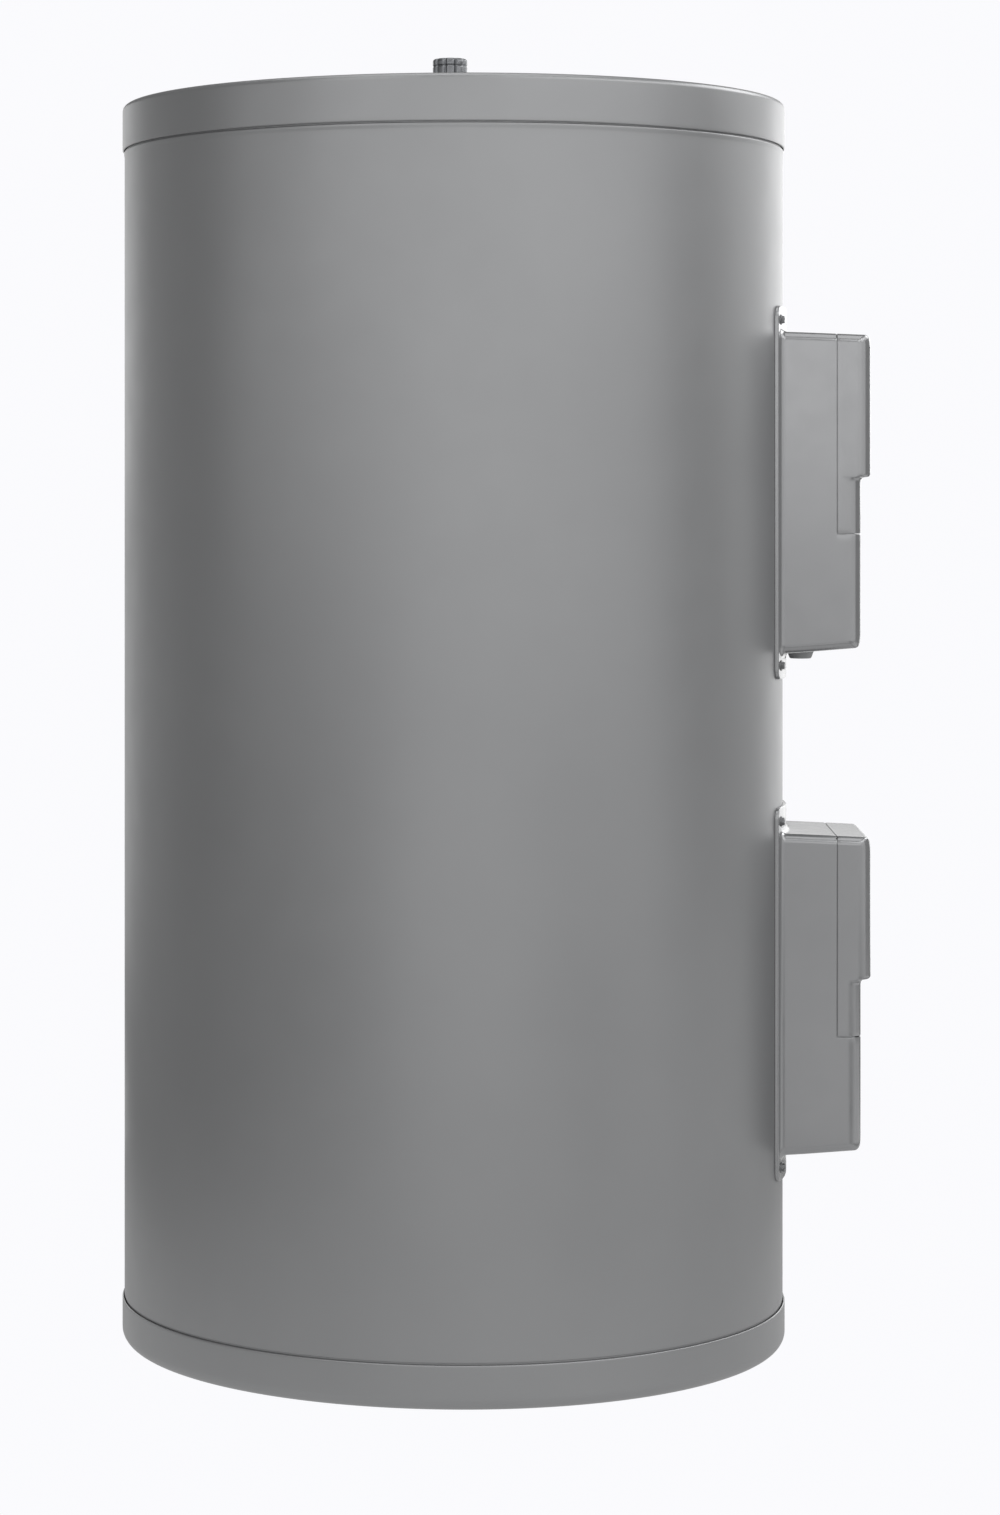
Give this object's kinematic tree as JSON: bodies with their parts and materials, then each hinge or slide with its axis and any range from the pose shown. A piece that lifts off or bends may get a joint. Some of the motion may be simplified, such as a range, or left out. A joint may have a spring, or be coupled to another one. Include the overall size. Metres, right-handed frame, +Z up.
{
  "type": "tank water heater",
  "caption": "Short upright electric storage water heater: insulated tank in a round grey jacket with flat pans, box-shaped electrical housings on one side, top water connections.",
  "frame": {"origin": "centre of the bottom pan's flat face, on the tank's axis", "axes": "+Z up the tank's axis, +X towards the electrical boxes (the service side), +Y towards the relief valve"},
  "size_m": [0.6878, 0.7195, 1.1743],
  "materials": {
    "jacket_paint": "satin grey enamel",
    "pan_paint": "satin grey enamel",
    "screw_zinc": "zinc plated",
    "foam": "foamed insulation",
    "dam_foam": "moulded foam",
    "tank_steel": "glass lined steel",
    "nipple_steel": "plated steel",
    "dip_plastic": "plain",
    "trim_plastic": "moulded",
    "plug_steel": "plated steel",
    "anode_metal": "cast magnesium",
    "dark_plastic": "moulded",
    "element_metal": "bright",
    "gasket_rubber": "matt",
    "phenolic": "moulded",
    "spring_steel": "bright",
    "button_red": "gloss",
    "dial_plastic": "plain",
    "terminal_brass": "bright",
    "ground_green": "dyed",
    "wire_black": "plain",
    "wire_red": "plain",
    "wire_blue": "plain",
    "box_plastic": "fine grained",
    "valve_brass": "cast and turned",
    "probe_copper": "drawn copper"
  },
  "bodies": {
    "root": {"bottom_pan": "pan_paint", "bottom_insulation": "foam", "jacket": "jacket_paint", "jacket_screws": "screw_zinc", "top_pan": "pan_paint", "side_insulation": "foam", "top_insulation": "foam", "tank_shell": "tank_steel", "tank_top_head": "tank_steel", "tank_bottom_head": "tank_steel", "tank_spuds": "tank_steel", "hot_nipple": "nipple_steel", "cold_nipple": "nipple_steel", "dip_tube": "dip_plastic", "nipple_collars": "trim_plastic", "anode_plug": "plug_steel", "anode_rod": "anode_metal", "anode_cap": "trim_plastic", "foam_dams": "dam_foam", "wire_conduit": "dark_plastic", "upper_element": "element_metal", "lower_element": "element_metal", "element_gaskets": "gasket_rubber", "element_terminal_blocks": "phenolic", "upper_thermostat": "phenolic", "lower_thermostat": "phenolic", "thermostat_brackets": "spring_steel", "high_limit": "phenolic", "terminal_bracket": "spring_steel", "terminal_block": "phenolic", "terminal_screws": "terminal_brass", "ground_screw": "ground_green", "black_wires": "wire_black", "red_wires": "wire_red", "blue_wires": "wire_blue", "upper_box_base": "box_plastic", "lower_box_base": "box_plastic", "supply_bushing": "dark_plastic", "valve_grommets": "dark_plastic", "relief_body": "valve_brass", "relief_bonnet": "valve_brass", "relief_spring": "spring_steel", "relief_probe": "probe_copper", "drain_body": "valve_brass", "drain_bonnet": "valve_brass"},
    "upper_cover": {"upper_box_cover": "box_plastic", "upper_cover_screws": "screw_zinc"},
    "lower_cover": {"lower_box_cover": "box_plastic", "lower_cover_screws": "screw_zinc"},
    "upper_dial": {"upper_dial": "dial_plastic"},
    "lower_dial": {"lower_dial": "dial_plastic"},
    "reset_button": {"reset_button": "button_red"},
    "relief_stem": {"relief_stem": "spring_steel", "relief_disc": "gasket_rubber", "relief_lever_pin": "spring_steel"},
    "relief_lever": {"relief_lever": "spring_steel"},
    "drain_disc": {"drain_disc": "gasket_rubber"},
    "drain_wheel": {"drain_stem": "valve_brass", "drain_handwheel": "dark_plastic", "handwheel_screw": "screw_zinc"}
  },
  "joints": [
    {"name": "upper_cover_slide", "type": "slide", "parent": "root", "child": "upper_cover", "axis": [1, 0, 0], "range_m": [0, 0.12]},
    {"name": "lower_cover_slide", "type": "slide", "parent": "root", "child": "lower_cover", "axis": [1, 0, 0], "range_m": [0, 0.12]},
    {"name": "upper_dial_turn", "type": "hinge", "parent": "root", "child": "upper_dial", "pos_m": [0.279, 0, 0.7675], "axis": [1, 0, 0], "range_deg": [-150, 150]},
    {"name": "lower_dial_turn", "type": "hinge", "parent": "root", "child": "lower_dial", "pos_m": [0.279, 0, 0.312], "axis": [1, 0, 0], "range_deg": [-150, 150]},
    {"name": "reset_press", "type": "slide", "parent": "root", "child": "reset_button", "axis": [-1, 0, 0], "range_m": [0, 0.003], "stiffness_N_per_m": 600},
    {"name": "relief_lift", "type": "slide", "parent": "root", "child": "relief_stem", "axis": [0, 1, 0], "range_m": [0, 0.004]},
    {"name": "relief_lever_turn", "type": "hinge", "parent": "relief_stem", "child": "relief_lever", "pos_m": [0, 0.4, 0.955], "axis": [-1, 0, 0], "range_deg": [0, 90], "stiffness_Nm_per_rad": 0.3, "springref_deg": -11.46},
    {"name": "drain_disc_lift", "type": "slide", "parent": "root", "child": "drain_disc", "axis": [0.5, 0.866, 0], "range_m": [0, 0.005]},
    {"name": "drain_wheel_turn", "type": "hinge", "parent": "drain_disc", "child": "drain_wheel", "pos_m": [0.19, 0.32909, 0.112], "axis": [0.5, 0.866, 0], "range_deg": [0, 720]}
  ],
  "couplings": [
    {"joint": "relief_lift", "follows": "relief_lever_turn", "m_per_rad": 0.00254},
    {"joint": "drain_disc_lift", "follows": "drain_wheel_turn", "m_per_rad": 0.000397}
  ]
}
